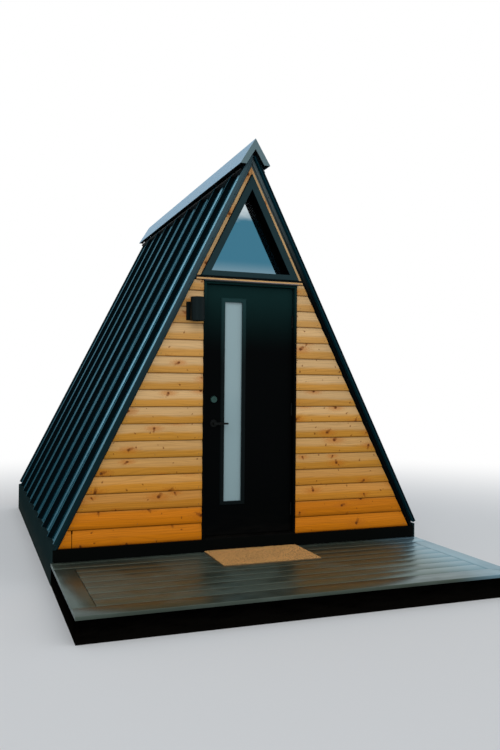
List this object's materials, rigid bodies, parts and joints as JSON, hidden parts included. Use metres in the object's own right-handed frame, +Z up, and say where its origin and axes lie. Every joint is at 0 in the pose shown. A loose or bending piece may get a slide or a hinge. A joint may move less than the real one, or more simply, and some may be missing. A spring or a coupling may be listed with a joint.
{
  "type": "a-frame cabin",
  "caption": "Small A-frame cabin with a steep seamed roof, a boarded gable, a hinged door with a narrow glass, a triangular window and a low front deck.",
  "frame": {"origin": "on the ground under the ridge, in the plane of the front boards", "axes": "+X to the right facing the door, +Y into the building along the ridge, +Z up"},
  "size_m": [3.1648, 5.089, 3.5123],
  "materials": {
    "black_paint": "black paint, semi-gloss, scuffed",
    "base_black": "black painted timber, matt",
    "skirt_grey": "dark grey-green painted board, matt",
    "frame_timber": "bare softwood framing",
    "board_timber": "oiled softwood lap boards, knotty",
    "floor_timber": "plywood, clear finish",
    "lining_timber": "plywood lining, clear finish",
    "roof_black": "black coated steel sheet, semi-gloss",
    "cap_zinc": "bare zinc-coated steel, dull",
    "drip_metal": "light grey flashing",
    "door_black": "black paint, satin",
    "hardware_black": "dark bronze to black, satin",
    "frosted_glass": "frosted",
    "window_glass": "clear, reflecting",
    "light_black": "black powder coat, matt",
    "deck_board": "dark grey-green composite boards, wet",
    "mat_coir": "coir"
  },
  "bodies": {
    "cabin": {"base_front": "base_black", "base_rear": "base_black", "floor_frame": "frame_timber", "floor": "floor_timber", "skirt_left": "skirt_grey", "skirt_right": "skirt_grey", "front_wall_left": "frame_timber", "front_wall_right": "frame_timber", "front_wall_header": "frame_timber", "rear_wall": "frame_timber", "siding_front_left": "board_timber", "siding_front_right": "board_timber", "siding_gable_top": "board_timber", "siding_rear": "board_timber", "roof_panel_left": "frame_timber", "roof_panel_right": "frame_timber", "lining_left": "lining_timber", "lining_right": "lining_timber", "roof_sheet_left": "roof_black", "roof_sheet_right": "roof_black", "ridge_cap": "cap_zinc", "rake_trim_front_left": "black_paint", "rake_trim_front_right": "black_paint", "rake_trim_rear": "black_paint", "gable_ledge": "board_timber", "drip_cap": "drip_metal", "door_frame": "door_black", "threshold": "door_black", "hinge_frame_side": "hardware_black", "window_frame": "black_paint", "window_glass": "window_glass", "light_plate": "light_black", "light_body": "light_black", "deck_fascia_front": "base_black", "deck_fascia_sides": "base_black", "deck_joists": "frame_timber", "deck_boards": "deck_board", "doormat": "mat_coir"},
    "door": {"door_slab": "door_black", "door_lite_frame": "door_black", "door_glass": "frosted_glass", "hinge_door_side": "hardware_black", "lock_roses": "hardware_black", "deadbolt": "hardware_black"},
    "lever": {"lever": "hardware_black"}
  },
  "joints": [
    {"name": "door_hinge", "type": "hinge", "parent": "cabin", "child": "door", "pos_m": [0.387, 0.023, 0], "axis": [0, 0, 1], "range_deg": [0, 90]},
    {"name": "lever_turn", "type": "hinge", "parent": "door", "child": "lever", "pos_m": [-0.301, 0, 1.19], "axis": [0, 1, 0], "range_deg": [0, 45], "stiffness_Nm_per_rad": 1.5}
  ]
}
